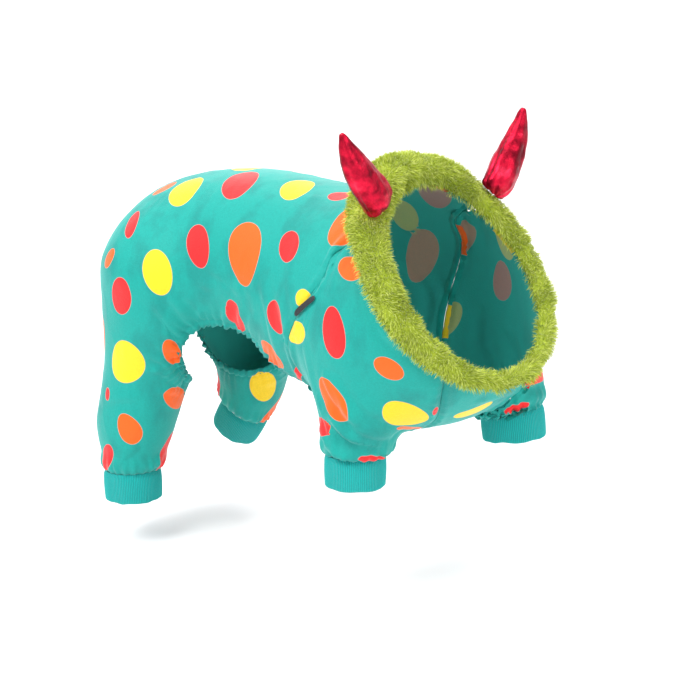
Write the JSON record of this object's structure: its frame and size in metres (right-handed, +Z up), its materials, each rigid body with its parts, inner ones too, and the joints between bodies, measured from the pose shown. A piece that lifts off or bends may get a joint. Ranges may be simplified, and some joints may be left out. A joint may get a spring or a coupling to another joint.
{
  "type": "dog costume",
  "caption": "Hollow four-legged plush suit for a small dog with raglan sleeves, ribbed cuffs, an open belly and a rolled plush hood with stuffed horns.",
  "frame": {"origin": "the inside of the back above the ribs, where the suit hangs on the wearer", "axes": "+X to the neck opening, +Y to the wearer's left, +Z up"},
  "size_m": [0.3842, 0.2279, 0.3447],
  "materials": {
    "fleece": "short velour, teal with egg-shaped red, orange and yellow dots",
    "rib_knit": "fine rib knit, turquoise",
    "plush": "short shaggy plush, lime",
    "lame": "metallic coated cloth, red, slightly creased",
    "ribbon": "woven ribbon, black, bare"
  },
  "bodies": {
    "root": {"back_body": "fleece", "belly_panel": "fleece", "sleeve_right": "fleece", "sleeve_left": "fleece", "cuff_front_right": "rib_knit", "cuff_front_left": "rib_knit", "cuff_rear_right": "rib_knit", "cuff_rear_left": "rib_knit", "hood": "plush", "horn_right": "lame", "horn_left": "lame", "side_label": "ribbon"}
  },
  "joints": []
}
